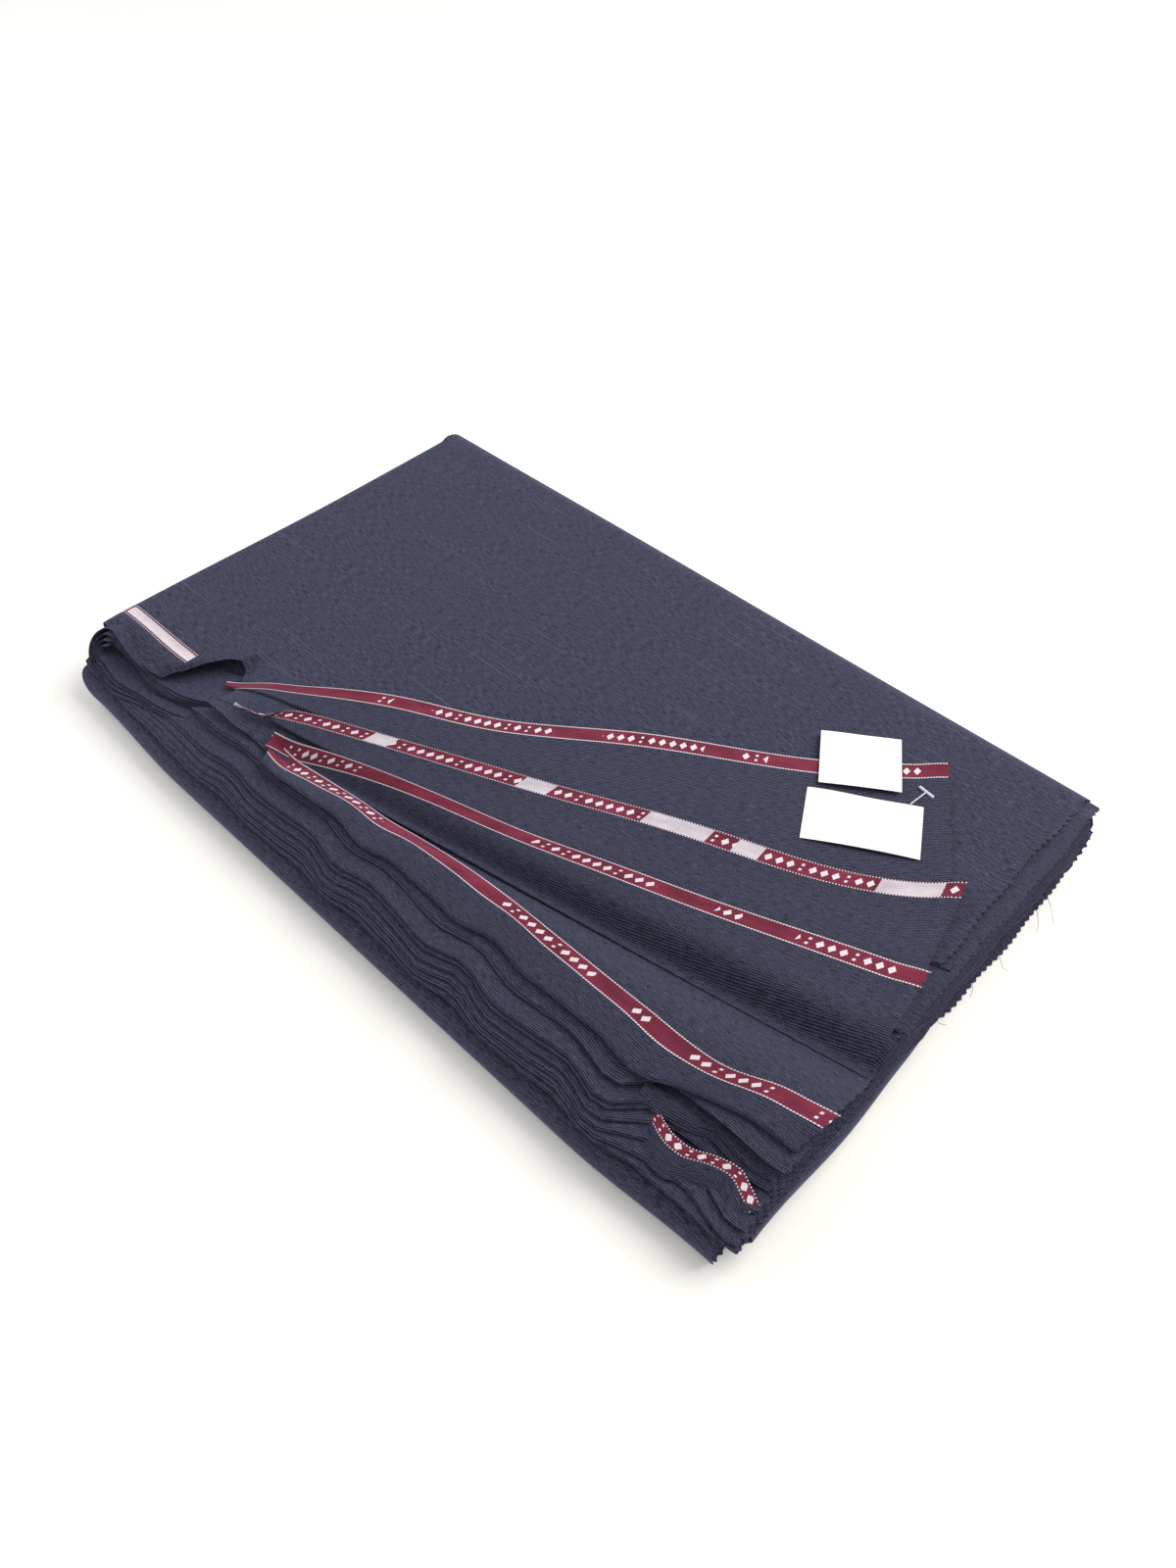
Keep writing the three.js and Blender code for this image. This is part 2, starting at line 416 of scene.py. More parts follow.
def sheet_object(name, points, flat, material, thickness=PLY, figure=None):
    """A sheet of rows x columns points, with their flat places, both in millimetres."""
    points, flat = np.asarray(points, float), np.asarray(flat, float)
    rows, columns = points.shape[:2]
    index = np.arange(rows * columns).reshape(rows, columns)
    corners = (index[:-1, :-1], index[:-1, 1:], index[1:, 1:], index[1:, :-1])
    faces = np.stack(corners, -1).reshape(-1, 4)
    places = flat.reshape(-1, 2)[faces.reshape(-1)]
    piece = new_piece(name, points, faces.tolist(), places, material)
    if figure is not None:
        attribute = piece.data.attributes.new("figure", "FLOAT", "POINT")
        attribute.data.foreach_set("value", np.asarray(figure, np.float32).ravel())
    wall = piece.modifiers.new("thickness", "SOLIDIFY")
    wall.thickness = thickness * MM
    wall.offset = 0
    bpy.ops.object.modifier_apply(modifier=wall.name)
    bpy.ops.object.shade_smooth_by_angle(angle=math.radians(50))
    print(name, rows, "x", columns, "points")
    return piece


def along(points):
    """Distance run along the first axis of a row of points."""
    steps = np.linalg.norm(np.diff(points, axis=0), axis=-1)
    return np.concatenate([np.zeros_like(steps[:1]), np.cumsum(steps, axis=0)])


def curve_through(controls, count):
    """count points, evenly spaced, on a smooth curve through a few controls."""
    c = np.asarray(controls, float)
    c = np.vstack([2 * c[0] - c[1], c, 2 * c[-1] - c[-2]])
    fine = []
    for a, b, d, e in zip(c[:-3], c[1:-2], c[2:-1], c[3:]):
        t = np.linspace(0, 1, 40, endpoint=False)[:, None]
        square, cube = 2 * a - 5 * b + 4 * d - e, 3 * b - a - 3 * d + e
        fine.append(0.5 * (2 * b + (d - a) * t + square * t**2 + cube * t**3))
    fine = np.vstack(fine + [c[-2:-1]])
    run = along(fine)
    at = np.linspace(0, run[-1], count)
    return np.stack([np.interp(at, run, fine[:, i]) for i in range(fine.shape[1])], -1)


def zigzag(distance, shift=0.0):
    """Pinking: from 0 to 1 and back over one tooth."""
    return 1 - np.abs(2 * ((distance / PINKING + shift) % 1) - 1)


def uneven(distance, seed):
    """The small unevenness of scissors: about 1 mm, over a few centimetres."""
    return 0.7 * np.sin(distance / 23 + 2.1 * seed) + 0.5 * np.sin(distance / 8.1 + 5.3 * seed)


def share(*parts):
    """Column places, closer where more is to be seen: (start, stop, count) parts joined."""
    places = [np.linspace(start, stop, count, endpoint=False) for start, stop, count in parts]
    return np.concatenate(places + [[parts[-1][1]]])


def figure_along(run, groups):
    """1 where a group of the woven figure stands along a selvedge, and 0 elsewhere."""
    figure = np.zeros(run.shape)
    for start, stop in groups:
        figure = np.maximum(figure, (run > start) & (run < stop))
    return figure


print("one tooth of the pinking", zigzag(np.linspace(0, PINKING, 5)))


# %% [markdown]
# ## The outer ply
# The outermost ply goes all the way round: it is the top plane, turns down over the back fold,
# runs under the pack and comes up in a smooth roll at the front. It is one sheet here too. Its
# section is a C with a few corner arcs, and its left end turns in, as it is folded there. The
# back fold is also the pack's hinge.


# %% Section of the outer ply
UNDER = 0.35  # height of the ply that lies on the table
TOP_FRONT, BACK_TURN, FRONT_TURN, LIP = -137.0, 146.0, -158.5, -136.0
BACK_REACH = 21.6
FRONT_RADII = (9.2, 10.0)
BACK_RISE = (TOP_HEIGHT - UNDER) / 2


def arc(centre, radius, start, stop, count):
    """Points of an arc in the (y, z) plane, angles in degrees."""
    a = np.radians(np.linspace(start, stop, count))
    return np.stack([centre[0] + radius[0] * np.cos(a), centre[1] + radius[1] * np.sin(a)], -1)


def straight(a, b, step=2.5):
    """Points from a towards b, a step apart, without the last."""
    count = max(2, int(round(np.hypot(b[0] - a[0], b[1] - a[1]) / step)))
    return np.stack([np.linspace(a[i], b[i], count, endpoint=False) for i in (0, 1)], -1)


swing = np.radians(np.linspace(90, -90, 34))
back_fold = np.stack([
    BACK_TURN + BACK_REACH * np.abs(np.cos(swing)) ** 0.55,
    UNDER + BACK_RISE + BACK_RISE * np.sign(np.sin(swing)) * np.abs(np.sin(swing)) ** 0.75,
], -1)
front_centre = (FRONT_TURN, UNDER + FRONT_RADII[1])
front_top = UNDER + 2 * FRONT_RADII[1]
section = np.vstack([
    straight((TOP_FRONT, TOP_HEIGHT), (BACK_TURN, TOP_HEIGHT)),
    back_fold[:-1],
    straight((BACK_TURN, UNDER), (FRONT_TURN, UNDER)),
    arc(front_centre, FRONT_RADII, -90, -270, 18)[:-1],
    straight((FRONT_TURN, front_top), (LIP, front_top)),
])
run_s = along(section)
tangent = np.gradient(section, axis=0)
tangent /= np.linalg.norm(tangent, axis=1)[:, None]
inward = np.stack([tangent[:, 1], -tangent[:, 0]], -1)
print("the ply runs", round(float(run_s[-1])), "mm round the pack")

# %% Grid of the outer ply
LEFT_ROUND = 3.4  # radius of the fold at the left, wider along the top
TURN_STEP = 1.2
turn = np.radians(np.linspace(0, 90, 7)[1:])
# Column places from the cut end, closer where more is to be seen.
columns_x = share((0, 1, 3), (1, 8, 3), (8, 60, 8), (60, 300, 30), (300, 410, 20),
                  (410, 480, 40), (480, 518, 8))
left_round = LEFT_ROUND + 4.2 * (1 - smooth(run_s, 283, 290))
right_edge = 250.5 + 11.5 * smooth(run_s, 290, 345) - 7.5 * smooth(run_s, 480, 520)
grid = np.zeros((len(section), len(columns_x) + len(turn) + 2, 3))
flat = np.zeros(grid.shape[:2] + (2,))
for row, (y, z) in enumerate(section):
    bend = left_round[row]
    left = LEFT_END + 0.3 + bend
    start = right_edge[row] + uneven(run_s[row], 1.0)
    x = start + (left - start) * columns_x / columns_x[-1]
    x[0] += 2.4 * zigzag(run_s[row])
    ends = [(left - bend * math.sin(a), bend * (1 - math.cos(a))) for a in turn]
    for down in (0.0, LEFT_ROUND - min(LEFT_ROUND, bend - LEFT_ROUND)):
        ends.append((left - bend, bend + 0.3 + down))
    pts = [(px, y, z) for px in x]
    pts += [(px, y + inward[row, 0] * inset, z + inward[row, 1] * inset) for px, inset in ends]
    grid[row] = pts
    flat[row, :, 0] = -np.append(x, x[-1] - np.arange(1, len(ends) + 1) * TURN_STEP)
    flat[row, :, 1] = run_s[row]
print("grid of", grid.shape[0], "x", grid.shape[1], "points")

# %% The slanting front of the top
# The top is cut back to the first crease, where it turns over and becomes the first corner.
FRONT_X = (-264, -238, -218, -208, -200, -194, -187, -181, -176, -169, 256.8)
FRONT_Y = (-139, -140, -141, -139, -128, -116, -104, -99, -101, -112, 12.0)
TOP_RUN = BACK_TURN - TOP_FRONT
CUT_LIFT = 1.9
top_rows = run_s <= TOP_RUN
t = run_s[top_rows] / TOP_RUN
for column in range(grid.shape[1]):
    front = float(np.interp(grid[0, column, 0], FRONT_X, FRONT_Y))
    grid[top_rows, column, 1] = front + (BACK_TURN - front) * t
    flat[top_rows, column, 1] = TOP_RUN - (BACK_TURN - grid[top_rows, column, 1])
cut_run = BACK_TURN - grid[top_rows, 0, 1]
grid[top_rows, 0, 0] = 250.5 + 1.2 * uneven(cut_run, 1.0) + 2.4 * zigzag(cut_run)
raised = smooth(grid[top_rows, :, 0], 243, 251) * (1 - smooth(grid[top_rows, :, 1], 125, 146))
grid[top_rows, :, 2] += CUT_LIFT * raised
print("the top runs back", TOP_RUN, "mm to the back fold")

# %% Outer ply
BAND_START, BAND_END = -257.0, -201.0  # the top selvedge is plain between these, and then ends
band_figure = np.where(grid[..., 0] < BAND_START, 1.0, 0.0) - 2 * (grid[..., 0] > BAND_END)
outer = sheet_object("outer_ply", settle(grid), flat, CLOTH_TOP_BAND, PLY, band_figure)
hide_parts("base_wrap", "top_sheet")
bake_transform(outer)

# %% [markdown]
# ## The leaves
# Inside the outer ply lie fifteen leaves, each a few plies of the same cloth: four in its lower
# roll, three on them, and eight that turn up with the top. A leaf is a flat loop: over the top,
# round the front edge and back underneath. At the cut end it is open and pinked, so the plies
# show. Each front edge waves a little differently, which draws the fine dark lines on the side
# of the pack.


# %% Leaf
LEAF_BACK = 157.0
LEFT_TAPER = 3.5  # a leaf closes over this length at the left


def leaf(name, low, high, front, right, wave, phase, body, retreat=0.0, hollow=0.0, inside=None):
    """One leaf of the pile between two heights, with its front edge at front."""
    radius = (high - low) / 2 - PLY / 2 - 0.02
    middle = (high + low) / 2
    spread = np.concatenate([np.linspace(0, 0.70, 40, endpoint=False), np.linspace(0.70, 1, 60)])
    turn_rows = np.radians(np.linspace(90, 270, 9))[1:-1]
    columns = share((0, 1, 1), (1, 10, 3), (10, 500, 50), (500, 522, 6))
    left_x = LEFT_END + 1.5
    width = right - left_x
    rows = 2 * len(spread) + len(turn_rows)
    grid = np.zeros((rows, len(columns), 3))
    place = right - width * columns / columns[-1]
    close = np.clip((place - left_x) / LEFT_TAPER, 0, 1)
    close = np.sqrt(np.clip(1 - (1 - close) ** 2, 0, 1))
    edge = front + wave * (0.5 + 0.5 * edge_wave(place, phase)) + radius
    edge = edge + retreat * smooth(place, 172, 212) + hollow * bump_at(place, 226, 20)
    edge = edge + 3.5 * (1 - smooth(place, LEFT_END, LEFT_END + 16)) ** 2
    ys = LEAF_BACK + (edge[None, :] - LEAF_BACK) * spread[:, None]
    grid[: len(spread), :, 1], grid[-len(spread) :, :, 1] = ys, ys[::-1]
    grid[: len(spread), :, 2], grid[-len(spread) :, :, 2] = radius, -radius
    for i, a in enumerate(turn_rows):
        grid[len(spread) + i, :, 1] = edge + radius * math.cos(a)
        grid[len(spread) + i, :, 2] = radius * math.sin(a)
    grid[..., 2] = middle + grid[..., 2] * close[None, :]
    grid[..., 0] = place[None, :]
    run = along(grid[:, 0, 1:])
    grid[:, 0, 0] += 2.2 * zigzag(run, phase) + uneven(run, phase)
    grid[:, 1, 0] += uneven(run, phase)
    flat = np.stack([-grid[..., 0], np.repeat(run[:, None], len(columns), 1)], -1)
    piece = sheet_object(name + "_cloth", settle(grid), flat, CLOTH)
    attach(piece, body)
    if not inside:
        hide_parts(name)


# %% The pile of leaves
LOWER_FRONTS = (-162, -159, -133)
BASE_LEAVES = ((0.9, 3.7, -160), (3.9, 6.8, -164), (7.0, 9.9, -165.5), (10.1, 13.0, -165))
UPPER_FRONTS = (-162.5, -161.0, -159.5, -157.5, -154.5, -153.0, -142.5, -141.0)
RETREATS = (0, 0, 5, 12, 20, 22, 26, 28)  # how far each upper leaf steps back at the tip
HOLLOWS = (0, 5, 7, 5, 0, 0, 0, 0)  # and how deep the hollow is that the tip flaps hang in


def heights(node):
    """The bottom and the top of a CAD leaf."""
    return [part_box(node)[end][2] / MM for end in (0, 1)]


for i, front in enumerate(LOWER_FRONTS, 1):
    node = f"lower_leaf_{i}"
    leaf(node, *heights(node), front, 254.5 - 0.6 * i, 1.0, 0.5 * i, "lower_bundle")
for i, (low, high, front) in enumerate(BASE_LEAVES, 1):
    leaf(f"base_leaf_{i}", low, high, front, 253.5, 0.3, 0.5 * i, "lower_bundle",
         inside="outer_ply")
for i, (front, retreat, hollow) in enumerate(zip(UPPER_FRONTS, RETREATS, HOLLOWS), 1):
    node = f"upper_leaf_{i}"
    leaf(node, *heights(node), front, 262.5 - 0.9 * i, 2.2, 0.22 * i, "upper_bundle",
         retreat, hollow)

# %% [markdown]
# ## The turned-back corners
# Four plies have their corner turned back over the pack, each over the one before, so that the
# buyer sees the woven selvedges. Such a corner is a triangle: the selvedge on one side, the
# pinked cut on another, and the crease it turns on. The sheet is laid between a smooth curve for
# the selvedge and a straight line for the crease, and rolls under itself at the crease.

# %% Lines of the corners
CREASES = [
    ((-177.0, -116.0), (256.8, 12.0)),
    ((-151.2, -125.0), (256.8, -34.0)),
    ((-113.2, -131.0), (256.8, -57.0)),
    ((-106.2, -139.0), (256.8, -127.0)),
]
SELVEDGES = [
    [(-178, -114), (-137, -91), (-84, -55), (-22, -22), (49, 28), (128, 78), (183, 124)],
    [(-151, -124), (-127, -122), (-115, -106), (-63, -81), (15, -48), (88, -16), (162, 12),
     (204, 34), (235, 58)],
    [(-113, -124), (-76, -112), (-5, -89), (57, -71), (130, -46), (200, -20), (251, -1)],
    [(-114, -126), (-65, -121), (-12, -116), (37, -111), (108, -110), (160, -110),
     (206, -109), (237, -97), (262, -92)],
]
CORNER_HEIGHT = (46.5, 47.5, 48.4, 47.4)
# Where the woven figure stands in groups, in millimetres along each selvedge.
FIGURES = [
    [(104, 112), (138, 210), (238, 296), (320, 334), (362, 420), (452, 470)],
    [(14, 96), (112, 190), (208, 262), (300, 316), (330, 392), (424, 440)],
    [(12, 66), (176, 246), (278, 292), (322, 372), (400, 410)],
    [(20, 96), (188, 250), (276, 290), (312, 352), (372, 384)],
]
BANDS = [CLOTH_FACE_BAND, CLOTH_REVERSE_BAND, CLOTH_FACE_BAND, CLOTH_FACE_BAND]
ROLL = (0.8, 0.8, 1.8, 1.6)  # how round each crease is
lengths = [float(along(curve_through(line, 60))[-1]) for line in SELVEDGES]
print("selvedges in millimetres", [round(length) for length in lengths])


# %% Turned corners
HEM = (0.8, 1.6)  # how far the cloth lies back under its crease
HEM_CUT = 5.0  # and how much was cut for that
CORNER_COLUMNS = 120
TIP_RETREAT, CUT_CURL, VALLEY_SHARE = 12.0, 2.0, 0.25


def corner_lift(number, x, distance):
    """The selvedge of a turned corner stands up a little and ripples."""
    near = np.exp(-distance / (14, 11, 15, 13)[number])
    ripple = 0.5 + 0.5 * np.sin(x / 21 + 1.7 * number)
    left = 1 - smooth(x, -100, 50)
    rise = (1.2 + 1.2 * left, 2.4 + 2.2 * left, 2.2 + 2.2 * left, 3.6 + 1.2 * left)[number]
    return near * (rise + 1.2 * ripple) * smooth(x, -160, -110)


def crease_roll(number, fold, across, reach, height):
    """Rows that roll under at the crease, and then lie back beneath it."""
    roll, rows = ROLL[number], []
    for a in np.radians(np.linspace(0, 180, 8))[1:]:
        out, down = roll * math.sin(a), roll * (1 - math.cos(a))
        rows.append(np.column_stack([fold + across * out, height - down]))
    for back in HEM:
        back = np.minimum(back, reach[:, None] * 0.5)
        rows.append(np.column_stack([fold - across * back, height - 2 * roll]))
    return np.array(rows)


def corner_surface(number):
    """The number-th corner, from 0, as rows from its selvedge to its crease and under it: the
    points, their distances from the selvedge, the selvedge and how far the crease is from it."""
    crease, height = np.array(CREASES[number]), CORNER_HEIGHT[number]
    selvedge = curve_through(SELVEDGES[number], CORNER_COLUMNS)
    along_edge = np.linspace(0, 1, CORNER_COLUMNS)
    fold = crease[0] + (crease[1] - crease[0]) * along_edge[:, None] ** 1.15
    if number == 3:
        fold[:, 1] += TIP_RETREAT * smooth(fold[:, 0], 185, 245)
    reach = np.linalg.norm(fold - selvedge, axis=1)
    across = (fold - selvedge) / np.maximum(reach, 1e-6)[:, None]
    rows = np.linspace(0, 1, max(8, int(round(reach[-1] / 2.5))) + 1)
    top = selvedge[None] + (fold - selvedge)[None] * rows[:, None, None]
    distance = rows[:, None] * reach[None]
    z = np.full(distance.shape, height) + corner_lift(number, top[..., 0], distance)
    curl = smooth(along_edge, 0.955, 1.0)[None] * (1 - smooth(rows, 0.45, 0.9))[:, None]
    z = z + CUT_CURL * curl
    if number == 2:  # this one sinks less into the valley
        z = z + VALLEY_SHARE * valley(top[..., 0], top[..., 1])
    under = crease_roll(number, fold, across, reach, z[-1])
    points = np.concatenate([np.concatenate([top, z[..., None]], -1), under], 0)
    extra = reach[None] + np.arange(1, len(under) + 1)[:, None] * 0.8
    return points, np.concatenate([distance, extra], 0), selvedge, reach


def turned_corner(number):
    """The number-th turned corner as a sheet, pinked along its cut, with its selvedge."""
    points, distance, selvedge, reach = corner_surface(number)
    run = along(selvedge)
    flat = np.stack([np.repeat(run[None], len(points), 0), distance], -1)
    # Pinking along the cut, which is the last column.
    cut = along(points[:, -1])
    direction = points[:, -1] - points[:, -2]
    direction /= np.linalg.norm(direction, axis=1)[:, None]
    teeth = 2.0 * zigzag(cut, 0.2 * number) + 0.5 * uneven(cut, number)
    points[:, -1] += direction * teeth[:, None]
    figure = np.repeat(figure_along(run, FIGURES[number])[None], len(points), 0)
    name = f"turned_corner_{number + 1}"
    piece = sheet_object(name + "_cloth", settle(points), flat, BANDS[number], PLY, figure)
    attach(piece, f"corner_{number + 1}")
    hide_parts(name)
    hem = math.pi * ROLL[number] + HEM_CUT
    width, length = float(reach.max()) + hem, float(run[-1])
    flat = (round(width * MM, 3), round(length * MM, 3))


for number in range(len(CREASES)):
    turned_corner(number)


# %% [markdown]
# ## The plies under the corners
# A corner that is turned back leaves the ply beneath it bare. Three such plies lie under the
# outer one, each ending in its own crease, and the last of them shows in the valley.


# %% Plies under the corners
PLY_BACK, PLY_DROP = 161.0, 3.2  # where they end, and how far they sink into the back fold


def bare_ply(number, height, right):
    """The ply that the number-th corner, from 0, belongs to."""
    crease = CREASES[number]
    columns = share((0, 1, 1), (1, 10, 3), (10, 430, 60))
    left = -168.0
    x = right + (left - right) * columns / columns[-1]
    front = np.maximum(line_y(crease, x), -134.0) + 0.6
    rows = np.linspace(0, 1, 100)
    ys = front[None] + (PLY_BACK - front[None]) * rows[:, None]
    zs = height - PLY_DROP * smooth(ys, 146, 162)
    grid = np.stack([np.repeat(x[None], len(rows), 0), ys, zs], -1)
    run = along(grid[:, 0])
    grid[:, 0, 0] += 2.2 * zigzag(run, 0.3 * number) + uneven(run, number + 3)
    flat = np.stack([-grid[..., 0], -grid[..., 1]], -1)
    piece = sheet_object(f"bare_ply_{number + 1}", settle(grid)[::-1], flat[::-1], CLOTH)
    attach(piece, "upper_bundle")


for number, height, right in ((1, 45.15, 259.5), (2, 44.65, 257.5), (3, 44.15, 259.0)):
    bare_ply(number, height, right)

# %% [markdown]
# ## The rolled fold at the left
# At the end without cut edges the plies turn round in a nest of U folds. Each one is a strip
# whose front edge follows a smooth line: along the top, round the turn, and back underneath. To
# the right of the turn the strips run together and slip in between the leaves.


# %% Rolled fold
ROLL_CENTRE = (-262.0, 34.6)  # x and z
ROLL_RADII = (10.8, 8.3, 5.9, 3.5)
ROLL_STRETCH = 1.55  # the folds are longer than they are high
ROLL_DEPTH = 30


def rolled_fold(number, radius):
    """One U fold of the nest, a sheet whose front edge faces the selvedge side."""
    cx, cz = ROLL_CENTRE
    upper = [
        (-120, -123 - 2.5 * number, 37.5 - 2.1 * number),
        (-150, -125 - 2.3 * number, 37.5 - 2.0 * number),
        (-172, -130 - 2.0 * number, 37.0 - 1.7 * number),
        (-192, -138 - 1.4 * number, 36.0 - 1.3 * number),
        (-215, -143 - 0.8 * number, 36.0 - 0.8 * number),
        (-240, -142 - 0.8 * number, cz + 0.50 * radius),
        (cx + 3, -141 - 0.8 * number, cz + 0.99 * radius),
    ]
    a = np.radians(np.linspace(95, 265, 12))
    turn = []
    for t in a:
        z = cz + radius * math.sin(t)
        turn.append((cx + ROLL_STRETCH * radius * math.cos(t), -140.0 - 0.95 * (45.5 - z), z))
    lower = [
        (cx + 3, -140.0 - 0.95 * (45.5 - cz + radius), cz - 0.99 * radius),
        (-240, -157 - 0.5 * radius + 0.5 * number, 31.5 - 0.70 * radius),
        (-215, -152 - 0.6 * radius + 0.5 * number, 31.5 - 0.50 * radius),
        (-190, -148 - 0.4 * radius, 31.5 - 0.40 * radius),
        (-160, -138, 30.0 - 0.20 * radius),
    ]
    edge = curve_through(upper + turn + lower, 150)
    edge[:, 1] += 0.7 * np.sin(edge[:, 0] / 9 + number)
    depth = np.linspace(0, ROLL_DEPTH, 7)
    grid = np.repeat(edge[:, None], len(depth), 1)
    grid[..., 1] += depth[None]
    run = along(edge)
    flat_depth = np.repeat(depth[None] + 60, len(edge), 0)
    flat = np.stack([np.repeat(run[:, None], len(depth), 1), flat_depth], -1)
    piece = sheet_object(f"rolled_fold_{number + 1}", grid, flat, CLOTH)
    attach(piece, "upper_bundle")


for number, radius in enumerate(ROLL_RADII):
    rolled_fold(number, radius)

# %% [markdown]
# ## Loose ends at the tip
# At the corner between the selvedge side and the cut end two more selvedges show, each on a
# small flap that hangs out of the pile, and below them a ply that is folded round the cut end.


# %% Flaps at the tip
def tip_flap(name, selvedge, fall, material, figures, rows=10):
    """A flap whose upper edge is the selvedge and whose cloth falls away to the front."""
    edge = curve_through(selvedge, 60)
    down = np.linspace(0, 1, rows)
    width = np.linalg.norm(fall[0]), np.linalg.norm(fall[1])
    t = np.linspace(0, 1, len(edge))[None, :, None]
    way = np.array(fall[0])[None, None] * (1 - t) + np.array(fall[1])[None, None] * t
    grid = edge[None] + way * down[:, None, None]
    grid[..., 2] += 1.8 * np.sin(np.pi * down)[:, None]
    run = along(edge)
    reach = down[:, None] * np.linalg.norm(way[0], axis=-1)[None]
    flat = np.stack([np.repeat(run[None], rows, 0), reach], -1)
    grid[:, -1, 0] += 1.6 * zigzag(down * width[1])
    figure = np.repeat(figure_along(run, figures)[None], rows, 0)
    piece = sheet_object(name, grid, flat, material, PLY, figure)
    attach(piece, "upper_bundle")


tip_flap(
    "tip_flap_lower",
    [(186, -133, 33.5), (196, -138, 34.5), (206, -142.5, 36.3), (214, -144, 37.0),
     (222, -143, 37.0), (232, -138, 36.5), (243, -135, 36.0), (252, -138, 35.0), (259, -141, 33.0)],
    ((2, -13, -9), (-8, -19, -12)),
    CLOTH_TIP_BAND,
    [(0, 130)],
    rows=12,
)
tip_flap(
    "tip_flap_upper",
    [(186, -134, 40.5), (212, -128, 38.0), (228, -120, 37.0), (240, -116, 35.5), (252, -122, 33.0)],
    ((1, -9, -4), (3, -12, -6)),
    CLOTH,
    [],
)

# %% Ply folded round the cut end
END_INNER, END_TURN = 235.0, 259.5  # from where to where the ply lies flat
END_RADII, END_MIDDLE = (5.2, 5.5), 14.9
end_turn = np.radians(np.linspace(90, -90, 13))
section_x = np.concatenate([
    np.linspace(END_INNER, END_TURN, 8, endpoint=False),
    END_TURN + END_RADII[0] * np.cos(end_turn),
    np.linspace(END_TURN, END_INNER, 9)[1:],
])
section_z = np.concatenate([
    np.full(8, END_MIDDLE + END_RADII[1]),
    END_MIDDLE + END_RADII[1] * np.sin(end_turn),
    np.full(8, END_MIDDLE - END_RADII[1]),
])
places_y = np.linspace(8, -150, 56)
bow = 0.9 * np.sin(places_y / 17) - 2.5 * smooth(places_y, -30, 8)
end_grid = np.zeros((len(section_x), len(places_y), 3))
end_grid[..., 0] = section_x[:, None] + bow[None] * smooth(section_x, 250, 262)[:, None]
end_grid[..., 1] = places_y[None]
end_grid[..., 2] = section_z[:, None] + (1.2 * np.sin(places_y / 26 + 1))[None]
run = along(np.stack([section_x, section_z], -1))
end_flat = np.stack(np.broadcast_arrays(-places_y[None], run[:, None]), -1)
end_fold = sheet_object("end_fold", end_grid, end_flat, CLOTH, 0.8)
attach(end_fold, "lower_bundle")

# %% [markdown]
# ## Loose yarns
# Where worsted is cut, single yarns work loose. A yarn is a thin, slightly curled tube, and it
# belongs to the sheet that it comes from.


# %% Loose yarns
def loose_yarn(name, controls, thickness=0.35):
    """A thin tube of six sides along a curve, in millimetres."""
    line = curve_through(controls, 24)
    forward = np.gradient(line, axis=0)
    forward /= np.linalg.norm(forward, axis=1)[:, None]
    side = np.cross(forward, (0, 0, 1.0))
    side /= np.linalg.norm(side, axis=1)[:, None]
    lift = np.cross(side, forward)
    turn = np.radians(np.arange(0, 360, 60))
    size = (thickness / 2) * np.linspace(1, 0.5, len(line))
    cosine, sine = np.cos(turn)[None, :, None], np.sin(turn)[None, :, None]
    spokes = side[:, None] * cosine + lift[:, None] * sine
    rings = line[:, None] + size[:, None, None] * spokes
    n, k = len(line), len(turn)
    faces = [(i * k + j, i * k + (j + 1) % k, (i + 1) * k + (j + 1) % k, (i + 1) * k + j)
             for i in range(n - 1) for j in range(k)]
    faces += [tuple(range(k))[::-1], tuple((n - 1) * k + j for j in range(k))]
    piece = new_piece(name, rings, faces, np.zeros((sum(map(len, faces)), 2)), CLOTH)
    bpy.ops.object.mode_set(mode="EDIT")
    bpy.ops.mesh.select_all(action="SELECT")
    bpy.ops.mesh.normals_make_consistent(inside=False)
    bpy.ops.object.mode_set(mode="OBJECT")
    bpy.ops.object.shade_smooth()
    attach(piece, "lower_bundle")
    return piece


YARNS = [
    [(259, 116, 12), (265, 115, 8), (271, 112, 3), (275, 107, 1)],
    [(259, 107, 11), (264, 105, 7), (269, 101, 2), (271, 96, 1)],
    [(260, 58, 13), (266, 59, 13), (270, 57, 10), (273, 58, 8)],
    [(261, 4, 14), (265, 2, 15), (268, 5, 13)],
    [(261, 40, 10), (265, 37, 7), (267, 33, 4)],
]
yarns = [loose_yarn(f"loose_yarn_{i + 1}", points) for i, points in enumerate(YARNS)]
print(len(yarns), "loose yarns")

# %% [markdown]
# ## Labels
# Two paper labels lie on the first corner. Paper is stiffer than cloth, so it keeps its straight
# sides but bows a little. The print is left out.


# %% Labels
def paper_material():
    """Coated label paper: white, smooth, with a very faint fibre grain."""
    material, tree = new_material("label_paper")
    uv = add(tree, "UVMap", uv_map="cloth")
    fibre = add(tree, "TexNoise", Vector=uv, Scale=900.0, Detail=4.0)
    colour = add(tree, "Mix", fibre, linear("#f4f4f6"), linear("#ffffff"), data_type="RGBA")
    bump = add(tree, "Bump", Strength=0.1, Distance=0.0001, Height=fibre)
    shader = add(tree, "BsdfPrincipled", Base_Color=colour, Roughness=0.55, Normal=bump)
    add(tree, "OutputMaterial", Surface=shader)
    return material


PAPER = paper_material()
PAPER_THICKNESS = 0.22


def surface_height(x, y):
    """Height of the first corner's cloth at a place, in millimetres."""
    return settle(np.stack([x, y, np.full(np.shape(x), CORNER_HEIGHT[0])], -1))[..., 2]


